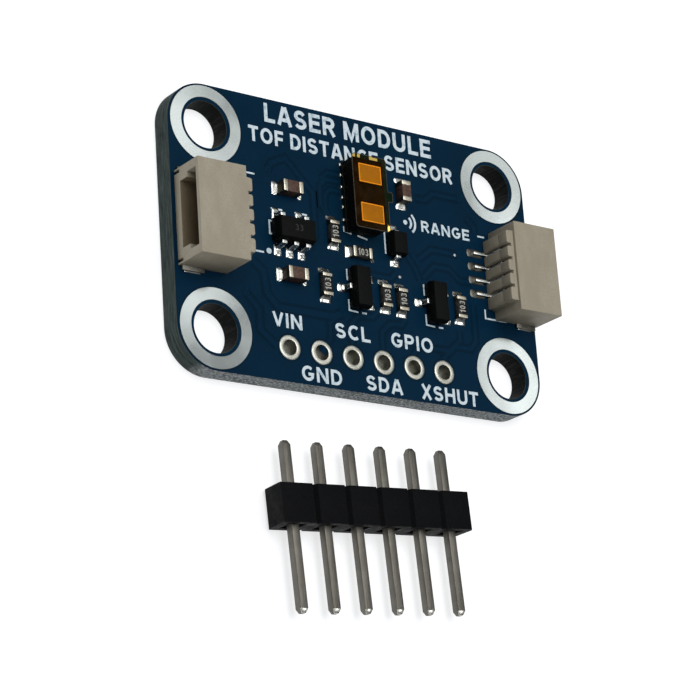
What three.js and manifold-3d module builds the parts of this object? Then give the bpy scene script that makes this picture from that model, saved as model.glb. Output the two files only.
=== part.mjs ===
// Time-of-flight distance sensor board with its loose pin header strip.
// Millimetres, +Z up. Origin: centre of the board's underside. +X is towards the right-hand
// connector and +Y towards the long edge beside the sensor. The board and the header strip
// both lie on the plane z = 0, and every part of the board is soldered to its upper face.

import * as THREE from "three";
import { mergeVertices } from "three/addons/utils/BufferGeometryUtils.js";
import Module from "manifold-3d";

const wasm = await Module();
wasm.setup();

// ---------------------------------------------------------------- driving dimensions

const GAP = 0.02; // air left between neighbouring pieces
const WELD = 1e-4; // corners closer than this are one corner
const OVERRUN = 0.5; // how far a cutting tool runs past the face that it opens
const COPPER = 0.035;

const BOARD = { length: 29.8, width: 19.7, thickness: 1.6, cornerRadius: 2.9 };
const MOUNT_HOLE = { pitchX: 24, pitchY: 14, radius: 1.65, landInner: 1.88, landOuter: 2.73 };
const PIN_HOLE = { y: -7.5, bore: 0.5, wall: 0.05, landRadius: 0.84 };
const PIN_COUNT = 6;
const PIN_PITCH = 2.54;

// Wire-to-board socket. Its x runs from the rear wall (0) to the mouth, y is centred.
const SOCKET = {
  ways: 4,
  pitch: 1.0,
  depth: 4.25,
  width: 6.44,
  height: 2.8,
  rearDepth: 0.58,
  rearWidth: 5.1,
  rearHeight: 2.6,
  roof: 0.3,
  floor: 0.65,
  sideWall: 0.6,
  cavityDepth: 3.1,
  keyHeight: 1.5,
  keyWidth: 0.35,
  slotWidth: 0.3,
  slotHeight: 1.65,
  topSlotWidth: 0.14,
  topSlotDepth: 0.36,
};
const CONTACT = { width: 0.22, thickness: 0.18, tail: 1.0, riserX: 0.42, bladeZ: 1.36, bladeEndX: 3.2 };
const HOLD_DOWN = { length: 1.7, endX: 4.05, thickness: 0.18, height: 0.6, reach: 0.32, seat: 0.34 };
const SOCKET_PLACES = [
  { name: "left_socket", rearX: -10.4, y: 0.02, turn: Math.PI },
  { name: "right_socket", rearX: 10.75, y: 0.14, turn: 0 },
];

const SENSOR = {
  x: -0.05,
  y: 3.8,
  width: 2.5,
  length: 4.95,
  standOff: 0.06,
  baseHeight: 0.3,
  capHeight: 1.14,
  roof: 0.35,
  windowX: 0.12,
  windowOffsetY: 1.41,
  windowWidth: 1.85,
  windowLength: 1.33,
  windowThickness: 0.16,
  windowRebate: 0.12,
  emitterDie: 0.35,
  receiverDie: 1.0,
  dieHeight: 0.15,
};
const LINER = { thickness: 0.05, minX: -1.43, maxX: 1.42, minY: 1.2, maxY: 6.5, corner: 0.25 };
const LINER_TAB = { reach: 0.4, minY: 3.4, maxY: 4.15 };

const SMALL_OUTLINE = { length: 2.9, standOff: 0.1, draft: 0.09 };
const LEAD = { width: 0.4, thickness: 0.13, footLength: 0.3, pitch: 0.95 };
const REGULATOR = { x: -5.92, y: 0.4, bodyWidth: 1.6, height: 1.15, leadExit: 0.85, reach: 0.6 };
const MOSFET = { bodyWidth: 1.3, height: 1.0, leadExit: 0.6, reach: 0.55 };
const MOSFET_PLACES = [
  { name: "mosfet_1", x: -0.7, y: -2.7 },
  { name: "mosfet_2", x: 5.78, y: -2.78 },
];
const DIODE = { x: 2.8, y: 1.0, length: 1.7, width: 1.25, height: 0.9, reach: 0.45 };

const CAPACITOR_TERMINAL = 0.35;
const CAPACITOR_PLACES = [
  { name: "input_capacitor", x: -5.86, y: 3.48, length: 1.6, width: 0.85, height: 0.88, turn: 0 },
  { name: "output_capacitor", x: -5.87, y: -2.57, length: 1.6, width: 0.85, height: 0.88, turn: 0 },
  { name: "sensor_capacitor", x: 3.73, y: 4.95, length: 1.5, width: 0.78, height: 0.8, turn: Math.PI / 2 },
];
const RESISTOR = { length: 1.6, width: 0.8, height: 0.45, terminal: 0.28, proud: 0.03 };
const RESISTOR_PLACES = [
  { x: -2.33, y: 1.07, turn: Math.PI / 2 },
  { x: -0.15, y: -0.05, turn: 0 },
  { x: -3.25, y: -2.78, turn: Math.PI / 2 },
  { x: 1.67, y: -2.83, turn: Math.PI / 2 },
  { x: 3.04, y: -2.9, turn: Math.PI / 2 },
  { x: 8.1, y: -2.68, turn: Math.PI / 2 },
];

// The header strip's y runs along its pins, towards their short ends.
const STRIP = { x: -0.37, y: -17.72, turn: 0.058, frontY: -1.2, rearY: 1.36, height: 2.24, snapLip: 0.17 };
const GROOVE = { width: 0.4, depth: 0.3 };
const PIN = { side: 0.6, shortEnd: 4.4, longEnd: -6.8, chamferLength: 0.3, chamferDepth: 0.13 };
const PIN_RECESS = { side: 1.3, depth: 0.25 };

const ROUND = 48; // sides of a large circle
const SMALL_ROUND = 24;
const CORNER_STEPS = 8;

// ---------------------------------------------------------------- materials

function finish(color, roughness, metalness) {
  return new THREE.MeshStandardMaterial({ color, roughness, metalness });
}

const FINISH = {
  solderMask: () => finish(0x08263e, 0.45, 0),
  tinned: () => finish(0xb9bcc0, 0.35, 1),
  housing: () => finish(0x9b937f, 0.6, 0),
  moulded: () => finish(0x1b1c1e, 0.65, 0),
  sensorBody: () => finish(0x17161a, 0.5, 0),
  laminate: () => finish(0x14261c, 0.6, 0),
  filterGlass: () => finish(0xd08a18, 0.15, 0),
  silicon: () => finish(0x50525a, 0.25, 0.4),
  liner: () => finish(0xa8702a, 0.3, 0),
  ceramic: () => finish(0x6e5140, 0.5, 0),
  resistor: () => finish(0x111214, 0.4, 0),
  pinMetal: () => finish(0x78756e, 0.4, 1),
};

// ---------------------------------------------------------------- solids from geometries

function toSolid(geometry) {
  const bare = geometry.clone();
  bare.deleteAttribute("normal");
  bare.deleteAttribute("uv");
  const welded = mergeVertices(bare, WELD);
  return new wasm.Manifold(
    new wasm.Mesh({
      numProp: 3,
      vertProperties: welded.attributes.position.array,
      triVerts: new Uint32Array(welded.index.array),
    }),
  );
}

function toGeometry(solid) {
  const mesh = solid.getMesh();
  const geometry = new THREE.BufferGeometry();
  geometry.setAttribute("position", new THREE.BufferAttribute(mesh.vertProperties, 3));
  geometry.setIndex(new THREE.BufferAttribute(mesh.triVerts, 1));
  geometry.computeVertexNormals();
  return geometry;
}

function join(...geometries) {
  return toGeometry(geometries.map(toSolid).reduce((all, next) => all.add(next)));
}

function cut(geometry, tools) {
  const solids = tools.map(toSolid);
  return toGeometry(solids.reduce((left, tool) => left.subtract(tool), toSolid(geometry)));
}

// ---------------------------------------------------------------- geometry helpers

function block(minX, maxX, minY, maxY, minZ, maxZ) {
  const geometry = new THREE.BoxGeometry(maxX - minX, maxY - minY, maxZ - minZ);
  return geometry.translate((minX + maxX) / 2, (minY + maxY) / 2, (minZ + maxZ) / 2);
}

function centredBlock(x, y, width, length, minZ, maxZ) {
  return block(x - width / 2, x + width / 2, y - length / 2, y + length / 2, minZ, maxZ);
}

// A block that spans innerY to outerY on the side y > 0 (side 1) or y < 0 (side -1).
function sideBlock(side, minX, maxX, innerY, outerY, minZ, maxZ) {
  const ends = [side * innerY, side * outerY];
  return block(minX, maxX, Math.min(...ends), Math.max(...ends), minZ, maxZ);
}

function disc(x, y, radius, minZ, maxZ, sides) {
  const geometry = new THREE.CylinderGeometry(radius, radius, maxZ - minZ, sides);
  return geometry.rotateX(Math.PI / 2).translate(x, y, (minZ + maxZ) / 2);
}

// A solid of revolution about +Z. The profile is a closed list of [radius, z] corners,
// running anticlockwise when the radius points right and z up.
function ring(profile, sides) {
  const corners = [...profile, profile[0]].map(([radius, z]) => new THREE.Vector2(radius, z));
  return new THREE.LatheGeometry(corners, sides).rotateX(Math.PI / 2);
}

function polygon(corners) {
  return new THREE.Shape(corners.map(([x, y]) => new THREE.Vector2(x, y)));
}

function roundedRectangle(minX, maxX, minY, maxY, radius) {
  const shape = new THREE.Shape();
  shape.absarc(maxX - radius, minY + radius, radius, -Math.PI / 2, 0);
  shape.absarc(maxX - radius, maxY - radius, radius, 0, Math.PI / 2);
  shape.absarc(minX + radius, maxY - radius, radius, Math.PI / 2, Math.PI);
  shape.absarc(minX + radius, minY + radius, radius, Math.PI, Math.PI * 1.5);
  shape.closePath();
  return shape;
}

function extrudeUp(shape, minZ, maxZ) {
  const options = { depth: maxZ - minZ, bevelEnabled: false, curveSegments: CORNER_STEPS };
  return new THREE.ExtrudeGeometry(shape, options).translate(0, 0, minZ);
}

// Extrudes a closed profile of [x, z] corners along y, centred on y = 0.
function extrudeAlongY(profile, width) {
  const geometry = new THREE.ExtrudeGeometry(polygon(profile), { depth: width, bevelEnabled: false });
  return geometry.rotateX(Math.PI / 2).translate(0, width / 2, 0);
}

// A moulded block whose four sides lean in, by draft, from mid height to top and bottom.
function draftedBlock(width, length, minZ, maxZ, draft) {
  const height = maxZ - minZ;
  const geometry = new THREE.BoxGeometry(width, length, height, 1, 1, 2);
  const corner = geometry.attributes.position;
  for (let i = 0; i < corner.count; i++) {
    const lean = (draft * Math.abs(corner.getZ(i))) / (height / 2);
    corner.setX(i, corner.getX(i) - Math.sign(corner.getX(i)) * lean);
    corner.setY(i, corner.getY(i) - Math.sign(corner.getY(i)) * lean);
  }
  return geometry.translate(0, 0, (minZ + maxZ) / 2);
}

// Copies of one value at an even pitch, centred on zero.
function evenly(count, pitch) {
  return Array.from({ length: count }, (_, i) => (i - (count - 1) / 2) * pitch);
}

function mesh(name, geometry, material) {
  const result = new THREE.Mesh(geometry, material);
  result.name = name;
  return result;
}

function placed(name, geometry, material, x, y, turn) {
  const result = mesh(name, geometry, material);
  result.position.set(x, y, 0);
  result.rotation.z = turn;
  return result;
}

const TOP = BOARD.thickness;

// ---------------------------------------------------------------- circuit board

function mountHoleCentres() {
  const xs = evenly(2, MOUNT_HOLE.pitchX);
  const ys = evenly(2, MOUNT_HOLE.pitchY);
  return xs.flatMap((x) => ys.map((y) => [x, y]));
}

function land(x, y) {
  const profile = [
    [MOUNT_HOLE.landInner, TOP - COPPER],
    [MOUNT_HOLE.landOuter, TOP - COPPER],
    [MOUNT_HOLE.landOuter, TOP + COPPER],
    [MOUNT_HOLE.landInner, TOP + COPPER],
  ];
  return ring(profile, ROUND).translate(x, y, 0);
}

function boardGeometry() {
  const halfLength = BOARD.length / 2;
  const halfWidth = BOARD.width / 2;
  const outline = roundedRectangle(-halfLength, halfLength, -halfWidth, halfWidth, BOARD.cornerRadius);
  const blank = extrudeUp(outline, 0, TOP);
  const lands = mountHoleCentres().map(([x, y]) => land(x, y));
  const mountDrills = mountHoleCentres().map(([x, y]) =>
    disc(x, y, MOUNT_HOLE.radius, -OVERRUN, TOP + OVERRUN, ROUND),
  );
  const pinDrillRadius = PIN_HOLE.bore + PIN_HOLE.wall + GAP;
  const pinDrills = evenly(PIN_COUNT, PIN_PITCH).flatMap((x) => [
    disc(x, PIN_HOLE.y, pinDrillRadius, -OVERRUN, TOP + OVERRUN, SMALL_ROUND),
    disc(x, PIN_HOLE.y, PIN_HOLE.landRadius + GAP, -OVERRUN, COPPER + GAP, SMALL_ROUND),
  ]);
  return cut(join(blank, ...lands), [...mountDrills, ...pinDrills]);
}

// The plated barrel of one header hole, with its pads on both faces. The lower pad is
// flush with the underside, so the board rests flat.
function barrelGeometry() {
  const wall = PIN_HOLE.bore + PIN_HOLE.wall;
  const profile = [
    [PIN_HOLE.bore, 0],
    [PIN_HOLE.landRadius, 0],
    [PIN_HOLE.landRadius, COPPER],
    [wall, COPPER],
    [wall, TOP + GAP],
    [PIN_HOLE.landRadius, TOP + GAP],
    [PIN_HOLE.landRadius, TOP + GAP + COPPER],
    [PIN_HOLE.bore, TOP + GAP + COPPER],
  ];
  return ring(profile, SMALL_ROUND);
}

function circuitBoard() {
  const group = new THREE.Group();
  group.add(mesh("circuit_board", boardGeometry(), FINISH.solderMask()));
  evenly(PIN_COUNT, PIN_PITCH).forEach((x, i) => {
    group.add(placed(`header_hole_${i + 1}`, barrelGeometry(), FINISH.tinned(), x, PIN_HOLE.y, 0));
  });
  return group;
}

// ---------------------------------------------------------------- wire-to-board sockets

const SOCKET_BASE = TOP + GAP;

function contactOffsets() {
  return evenly(SOCKET.ways, SOCKET.pitch);
}

// Where a hold-down sits in the side wall: a slit for its plate, open at the mouth, and a
// low gap under the wall for its foot.
function holdDownSeat(side) {
  const startX = HOLD_DOWN.endX - HOLD_DOWN.length - GAP;
  const endX = SOCKET.depth + OVERRUN;
  const inner = SOCKET.width / 2 - HOLD_DOWN.seat;
  const slitTop = SOCKET_BASE + HOLD_DOWN.height + GAP;
  const gapTop = SOCKET_BASE + HOLD_DOWN.thickness + GAP;
  const slitWidth = HOLD_DOWN.thickness + 2 * GAP;
  return [
    sideBlock(side, startX, endX, inner, inner + slitWidth, SOCKET_BASE - OVERRUN, slitTop),
    sideBlock(side, startX, HOLD_DOWN.endX + GAP, inner, SOCKET.width, SOCKET_BASE - OVERRUN, gapTop),
  ];
}

function socketGeometry() {
  const top = SOCKET_BASE + SOCKET.height;
  const shell = centredBlock(
    (SOCKET.rearDepth + SOCKET.depth) / 2, 0,
    SOCKET.depth - SOCKET.rearDepth, SOCKET.width,
    SOCKET_BASE, top,
  );
  const rear = centredBlock(
    SOCKET.rearDepth, 0,
    2 * SOCKET.rearDepth, SOCKET.rearWidth,
    SOCKET_BASE, SOCKET_BASE + SOCKET.rearHeight,
  );
  const cavityStart = SOCKET.depth - SOCKET.cavityDepth;
  const cavityEnd = SOCKET.depth + OVERRUN;
  const floorZ = SOCKET_BASE + SOCKET.floor;
  const keyZ = SOCKET_BASE + SOCKET.keyHeight;
  const upperHalf = SOCKET.width / 2 - SOCKET.sideWall;
  const lowerHalf = upperHalf - SOCKET.keyWidth;
  const upperCavity = block(cavityStart, cavityEnd, -upperHalf, upperHalf, keyZ, top - SOCKET.roof);
  const lowerCavity = block(cavityStart, cavityEnd, -lowerHalf, lowerHalf, floorZ, keyZ + GAP);
  const slots = contactOffsets().flatMap((y) => [
    centredBlock(
      cavityStart / 2, y,
      cavityStart + 2 * GAP, SOCKET.slotWidth,
      SOCKET_BASE - OVERRUN, SOCKET_BASE + SOCKET.slotHeight,
    ),
    centredBlock(0, y, 2 * SOCKET.topSlotDepth, SOCKET.topSlotWidth, SOCKET_BASE, top),
  ]);
  const seats = [-1, 1].flatMap(holdDownSeat);
  return cut(join(shell, rear), [upperCavity, lowerCavity, ...slots, ...seats]);
}

// A contact's tail lies on the board, its riser stands in the rear slot, and its blade
// runs through the cavity to meet the plug.
function contactGeometry() {
  const foot = TOP + GAP;
  const sheet = CONTACT.thickness;
  const bladeZ = foot + CONTACT.bladeZ;
  const profile = [
    [-CONTACT.tail, foot],
    [CONTACT.riserX, foot],
    [CONTACT.riserX, bladeZ],
    [CONTACT.bladeEndX, bladeZ],
    [CONTACT.bladeEndX, bladeZ + sheet],
    [CONTACT.riserX - sheet, bladeZ + sheet],
    [CONTACT.riserX - sheet, foot + sheet],
    [-CONTACT.tail, foot + sheet],
  ];
  return extrudeAlongY(profile, CONTACT.width);
}

// An L of sheet metal: a plate in the seat of the side wall and a foot on the board.
function holdDownGeometry(side) {
  const inner = SOCKET.width / 2 - HOLD_DOWN.seat + GAP;
  const outer = SOCKET.width / 2 + HOLD_DOWN.reach;
  const foot = TOP + GAP;
  const startX = HOLD_DOWN.endX - HOLD_DOWN.length;
  const plateOuter = inner + HOLD_DOWN.thickness;
  const plate = sideBlock(side, startX, HOLD_DOWN.endX, inner, plateOuter, foot, foot + HOLD_DOWN.height);
  const sole = sideBlock(side, startX, HOLD_DOWN.endX, inner, outer, foot, foot + HOLD_DOWN.thickness);
  return join(plate, sole);
}

function socket({ name, rearX, y, turn }) {
  const group = new THREE.Group();
  group.position.set(rearX, y, 0);
  group.rotation.z = turn;
  group.add(mesh(`${name}_housing`, socketGeometry(), FINISH.housing()));
  contactOffsets().forEach((offset, i) => {
    group.add(placed(`${name}_contact_${i + 1}`, contactGeometry(), FINISH.tinned(), 0, offset, 0));
  });
  [-1, 1].forEach((side, i) => {
    group.add(mesh(`${name}_hold_down_${i + 1}`, holdDownGeometry(side), FINISH.tinned()));
  });
  return group;
}

// ---------------------------------------------------------------- distance sensor

const SENSOR_BASE = TOP + SENSOR.standOff;
const SENSOR_FLOOR = SENSOR_BASE + SENSOR.baseHeight;
const SENSOR_TOP = SENSOR_FLOOR + GAP + SENSOR.capHeight;
const WINDOW_YS = evenly(2, 2 * SENSOR.windowOffsetY);

function sensorCapGeometry() {
  const capBottom = SENSOR_FLOOR + GAP;
  const roofUnderside = SENSOR_TOP - SENSOR.roof;
  const cap = centredBlock(0, 0, SENSOR.width, SENSOR.length, capBottom, SENSOR_TOP);
  const tools = WINDOW_YS.flatMap((y) => [
    centredBlock(
      0, y,
      SENSOR.windowWidth + 2 * SENSOR.windowRebate, SENSOR.windowLength + 2 * SENSOR.windowRebate,
      capBottom - OVERRUN, roofUnderside,
    ),
    centredBlock(
      SENSOR.windowX, y,
      SENSOR.windowWidth - 2 * SENSOR.windowRebate, SENSOR.windowLength - 2 * SENSOR.windowRebate,
      roofUnderside - GAP, SENSOR_TOP + OVERRUN,
    ),
    centredBlock(
      SENSOR.windowX, y,
      SENSOR.windowWidth + 2 * GAP, SENSOR.windowLength + 2 * GAP,
      SENSOR_TOP - SENSOR.windowThickness - GAP, SENSOR_TOP + OVERRUN,
    ),
  ]);
  return cut(cap, tools);
}

function windowGeometry(y) {
  return centredBlock(
    SENSOR.windowX, y,
    SENSOR.windowWidth, SENSOR.windowLength,
    SENSOR_TOP - SENSOR.windowThickness, SENSOR_TOP,
  );
}

function dieGeometry(y, side) {
  return centredBlock(0, y, side, side, SENSOR_FLOOR + GAP, SENSOR_FLOOR + GAP + SENSOR.dieHeight);
}

// The peel-off film over the sensor's face, with the tab that it is pulled off by.
function linerGeometry() {
  const bottom = SENSOR_TOP + GAP;
  const top = bottom + LINER.thickness;
  const sheet = roundedRectangle(LINER.minX, LINER.maxX, LINER.minY, LINER.maxY, LINER.corner);
  const tab = roundedRectangle(
    LINER.maxX - LINER_TAB.reach, LINER.maxX + LINER_TAB.reach,
    LINER_TAB.minY, LINER_TAB.maxY,
    LINER.corner / 2,
  );
  return join(extrudeUp(sheet, bottom, top), extrudeUp(tab, bottom, top));
}

function distanceSensor() {
  const group = new THREE.Group();
  group.position.set(SENSOR.x, SENSOR.y, 0);
  const [receiverY, emitterY] = WINDOW_YS;
  const base = centredBlock(0, 0, SENSOR.width, SENSOR.length, SENSOR_BASE, SENSOR_FLOOR);
  group.add(mesh("sensor_base", base, FINISH.laminate()));
  group.add(mesh("sensor_cap", sensorCapGeometry(), FINISH.sensorBody()));
  group.add(mesh("emitter_window", windowGeometry(emitterY), FINISH.filterGlass()));
  group.add(mesh("receiver_window", windowGeometry(receiverY), FINISH.filterGlass()));
  group.add(mesh("emitter_die", dieGeometry(emitterY, SENSOR.emitterDie), FINISH.silicon()));
  group.add(mesh("receiver_die", dieGeometry(receiverY, SENSOR.receiverDie), FINISH.silicon()));
  return group;
}

// ---------------------------------------------------------------- small-outline packages

// A gull-wing lead that leaves a package side at x = 0 and bends down to a foot at x = reach.
// It starts at x = root, and comes out at the given height.
function gullWingGeometry(root, reach, exit) {
  const sheet = LEAD.thickness;
  const foot = TOP + GAP;
  const kneeX = reach - LEAD.footLength;
  const profile = [
    [root, exit - sheet / 2],
    [kneeX - sheet, exit - sheet / 2],
    [kneeX, foot],
    [reach, foot],
    [reach, foot + sheet],
    [kneeX + sheet, foot + sheet],
    [kneeX, exit + sheet / 2],
    [root, exit + sheet / 2],
  ];
  return extrudeAlongY(profile, LEAD.width);
}

// The package's long side runs along y. Leads are [side, y] pairs, side +1 or -1 along x.
function smallOutlinePackage(name, { bodyWidth, height, leadExit, reach }, leads) {
  const group = new THREE.Group();
  const bottom = TOP + SMALL_OUTLINE.standOff;
  const { length, draft } = SMALL_OUTLINE;
  const body = draftedBlock(bodyWidth, length, bottom, bottom + height, draft);
  group.add(mesh(`${name}_body`, body, FINISH.moulded()));
  leads.forEach(([side, y], i) => {
    const turn = side > 0 ? 0 : Math.PI;
    const lead = gullWingGeometry(GAP, reach, TOP + leadExit);
    group.add(placed(`${name}_lead_${i + 1}`, lead, FINISH.tinned(), (side * bodyWidth) / 2, y, turn));
  });
  return group;
}

function regulator() {
  const [low, middle, high] = evenly(3, LEAD.pitch);
  const leads = [[-1, low], [-1, middle], [-1, high], [1, low], [1, high]];
  const group = smallOutlinePackage("regulator", REGULATOR, leads);
  group.position.set(REGULATOR.x, REGULATOR.y, 0);
  group.rotation.z = Math.PI / 2;
  return group;
}

function mosfet({ name, x, y }) {
  const [low, middle, high] = evenly(3, LEAD.pitch);
  const leads = [[-1, middle], [1, low], [1, high]];
  const group = smallOutlinePackage(name, MOSFET, leads);
  group.position.set(x, y, 0);
  return group;
}

// A two-lead package, moulded round the leads that come out of its ends.
function diode() {
  const bottom = TOP + GAP;
  const middle = bottom + DIODE.height / 2;
  const body = draftedBlock(DIODE.width, DIODE.length, bottom, bottom + DIODE.height, SMALL_OUTLINE.draft);
  const leads = [-1, 1].map((side) =>
    gullWingGeometry(-LEAD.footLength, DIODE.reach, middle)
      .translate(DIODE.length / 2, 0, 0)
      .rotateZ((side * Math.PI) / 2),
  );
  return placed("diode", join(body, ...leads), FINISH.moulded(), DIODE.x, DIODE.y, 0);
}

// ---------------------------------------------------------------- chip components

function chipGeometry(length, width, height, terminal, proud) {
  const base = TOP + GAP;
  const top = base + height;
  const core = centredBlock(0, 0, length - terminal, width - 2 * proud, base + proud, top - proud);
  const ends = evenly(2, length - terminal).map((x) =>
    centredBlock(x, 0, terminal, width, base, top),
  );
  return join(core, ...ends);
}

function capacitor({ name, x, y, length, width, height, turn }) {
  const geometry = chipGeometry(length, width, height, CAPACITOR_TERMINAL, GAP);
  return placed(name, geometry, FINISH.ceramic(), x, y, turn);
}

function resistor({ x, y, turn }, i) {
  const { length, width, height, terminal, proud } = RESISTOR;
  const geometry = chipGeometry(length, width, height, terminal, proud);
  return placed(`resistor_${i + 1}`, geometry, FINISH.resistor(), x, y, turn);
}

// ---------------------------------------------------------------- pin header strip

// One break-away bar of octagonal cells, seen along its pins: flats with V grooves between.
// Its left end was snapped off, so it slants, and its upper edge is a lip.
function stripOutline() {
  const halfLength = (PIN_COUNT * PIN_PITCH) / 2;
  const halfGroove = GROOVE.width / 2;
  const upperGrooveZ = STRIP.height - GROOVE.depth;
  const side = (z, grooveZ) =>
    evenly(PIN_COUNT, PIN_PITCH).flatMap((x) => [
      [x - PIN_PITCH / 2 + halfGroove, z],
      [x + PIN_PITCH / 2 - halfGroove, z],
      [x + PIN_PITCH / 2, grooveZ],
    ]);
  const lower = side(0, GROOVE.depth);
  const upper = side(STRIP.height, upperGrooveZ).reverse();
  const snapped = [[-halfLength - STRIP.snapLip, STRIP.height], [-halfLength, GROOVE.depth]];
  return [...lower, ...upper, ...snapped];
}

function stripBodyGeometry() {
  const middle = STRIP.height / 2;
  const hole = PIN.side / 2 + GAP;
  const recess = PIN_RECESS.side / 2;
  const { frontY, rearY } = STRIP;
  const recessEndY = frontY + PIN_RECESS.depth;
  const tools = evenly(PIN_COUNT, PIN_PITCH).flatMap((x) => [
    block(x - hole, x + hole, frontY - OVERRUN, rearY + OVERRUN, middle - hole, middle + hole),
    block(x - recess, x + recess, frontY - OVERRUN, recessEndY, middle - recess, middle + recess),
  ]);
  const bar = extrudeAlongY(stripOutline(), rearY - frontY).translate(0, (frontY + rearY) / 2, 0);
  return cut(bar, tools);
}

// A square pin along y with a chamfered point at both ends.
function headerPinGeometry() {
  const half = PIN.side / 2;
  const square = polygon([[-half, -half], [half, -half], [half, half], [-half, half]]);
  const length = PIN.shortEnd - PIN.longEnd;
  const geometry = new THREE.ExtrudeGeometry(square, {
    depth: length - 2 * PIN.chamferLength,
    bevelEnabled: true,
    bevelSegments: 1,
    bevelThickness: PIN.chamferLength,
    bevelSize: PIN.chamferDepth,
    bevelOffset: -PIN.chamferDepth,
  });
  geometry.rotateX(Math.PI / 2);
  return geometry.translate(0, PIN.shortEnd - PIN.chamferLength, STRIP.height / 2);
}

function headerStrip() {
  const group = new THREE.Group();
  group.position.set(STRIP.x, STRIP.y, 0);
  group.rotation.z = STRIP.turn;
  group.add(mesh("header_body", stripBodyGeometry(), FINISH.moulded()));
  evenly(PIN_COUNT, PIN_PITCH).forEach((x, i) => {
    group.add(placed(`header_pin_${i + 1}`, headerPinGeometry(), FINISH.pinMetal(), x, 0, 0));
  });
  return group;
}

// ---------------------------------------------------------------- assembly

const assembly = new THREE.Group();
assembly.add(circuitBoard());
SOCKET_PLACES.forEach((place) => assembly.add(socket(place)));
assembly.add(distanceSensor());
assembly.add(mesh("liner_film", linerGeometry(), FINISH.liner()));
assembly.add(regulator());
MOSFET_PLACES.forEach((place) => assembly.add(mosfet(place)));
assembly.add(diode());
CAPACITOR_PLACES.forEach((place) => assembly.add(capacitor(place)));
RESISTOR_PLACES.forEach((place, i) => assembly.add(resistor(place, i)));
assembly.add(headerStrip());

export default assembly;
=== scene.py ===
"""Looks of a time-of-flight distance sensor board and its loose pin header strip.

Lengths in this script are in millimetres and become metres when a mesh is made.
The board's underside and the strip lie on the plane z = 0, and +Z is up.
"""

import math

import bmesh
import bpy
from mathutils import Matrix, Vector


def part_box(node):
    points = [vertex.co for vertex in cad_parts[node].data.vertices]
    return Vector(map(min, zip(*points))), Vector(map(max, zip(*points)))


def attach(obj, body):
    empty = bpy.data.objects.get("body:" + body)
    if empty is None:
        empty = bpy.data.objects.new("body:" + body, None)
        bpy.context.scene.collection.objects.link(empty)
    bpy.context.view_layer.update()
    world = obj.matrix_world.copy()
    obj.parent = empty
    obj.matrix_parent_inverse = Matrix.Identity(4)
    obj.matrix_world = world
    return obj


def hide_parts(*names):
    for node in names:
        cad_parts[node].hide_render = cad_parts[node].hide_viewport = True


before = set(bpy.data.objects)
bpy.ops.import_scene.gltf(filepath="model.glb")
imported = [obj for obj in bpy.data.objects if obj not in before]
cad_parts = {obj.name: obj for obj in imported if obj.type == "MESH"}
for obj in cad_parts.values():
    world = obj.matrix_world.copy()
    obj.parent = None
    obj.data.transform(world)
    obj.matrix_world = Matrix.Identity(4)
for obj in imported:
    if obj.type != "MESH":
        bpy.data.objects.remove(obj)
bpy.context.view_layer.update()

MM = 0.001

# ---- camera

CAMERA = {
    "target": (-1.5, -7.0, 1.6),
    "azimuth": -61.87,
    "elevation": 48.99,
    "distance": 160.6,
    "roll": 64.0,
    "lens": 125.77,
}


def new_object(name, data):
    """A new object in the scene."""
    thing = bpy.data.objects.new(name, data)
    bpy.context.scene.collection.objects.link(thing)
    return thing


def make_camera():
    """Looks at the target from an azimuth and elevation, rolled about its own line of sight."""
    azimuth = math.radians(CAMERA["azimuth"])
    elevation = math.radians(CAMERA["elevation"])
    level = math.cos(elevation)
    back = Vector((math.sin(azimuth) * level, -math.cos(azimuth) * level, math.sin(elevation)))
    camera = new_object("camera", bpy.data.cameras.new("camera"))
    roll = Matrix.Rotation(math.radians(CAMERA["roll"]), 3, "Z")
    turned = (-back).to_track_quat("-Z", "Y").to_matrix() @ roll
    place = (Vector(CAMERA["target"]) + back * CAMERA["distance"]) * MM
    camera.matrix_world = Matrix.Translation(place) @ turned.to_4x4()
    camera.data.lens = CAMERA["lens"]
    camera.data.sensor_width = 36.0
    camera.data.clip_start = 10 * MM
    camera.data.clip_end = 3000 * MM
    bpy.context.scene.camera = camera


make_camera()

# ---- dimensions

TOP = 1.6  # the board's upper face
FOOT = TOP + 0.02  # where soldered parts stand
ROOT = TOP - 0.01  # where raised things start, just inside the board
BOARD = {"length": 29.8, "width": 19.7, "corner": 2.9, "skin": 0.04}
HOLE = {"pitch_x": 24.0, "pitch_y": 14.0, "radius": 1.65, "land_inner": 1.88, "land_outer": 2.73}
PIN_HOLE = {"radius": 0.5, "wall": 0.05, "land": 0.84}
LAND_HEIGHT = 0.045
CLEARANCE = {"gap": 0.01, "mount_radius": 2.83, "pin_radius": 1.0, "height": 0.0015}
VIA = {"bore": 0.09, "radius": 0.25, "height": 0.018}
HOLE_CENTRES = [
    (x, y)
    for x in (-HOLE["pitch_x"] / 2, HOLE["pitch_x"] / 2)
    for y in (-HOLE["pitch_y"] / 2, HOLE["pitch_y"] / 2)
]
ROUND = 96  # sides of a large circle
SMALL_ROUND = 40
SOCKETS = ("left_socket", "right_socket")
RIB = {"depth": 0.36, "height": 2.6, "width": 5.1}  # a socket's rear ribs, all together
RIB_SLOT = {"pitch": 1.0, "low_width": 0.26, "high_width": 0.2, "step": 1.65}
CAVITY_INSET = {"rear": 0.3, "front": 0.1, "side": 0.25, "floor": 0.15}  # of the painted shade inside the socket's mouth
LEAD_PAD = {"width": 0.62, "heel": 0.55, "toe": 0.3, "thickness": 0.075}
DIODE = {"body_half": 0.85, "pad_half": 0.4, "heel": 0.35, "toe": 0.25, "thickness": 0.09}
SENSOR_PAD_ROWS = (6.15, 5.41, 4.54, 3.78, 3.1, 2.16)  # along Y, on both sides
PAD_SKIN = 0.012  # least height of a wetted pad
FLOOR = {"reach": 900.0, "level": -0.02, "glow": 0.68}  # a hair lower than what lies on it
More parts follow.
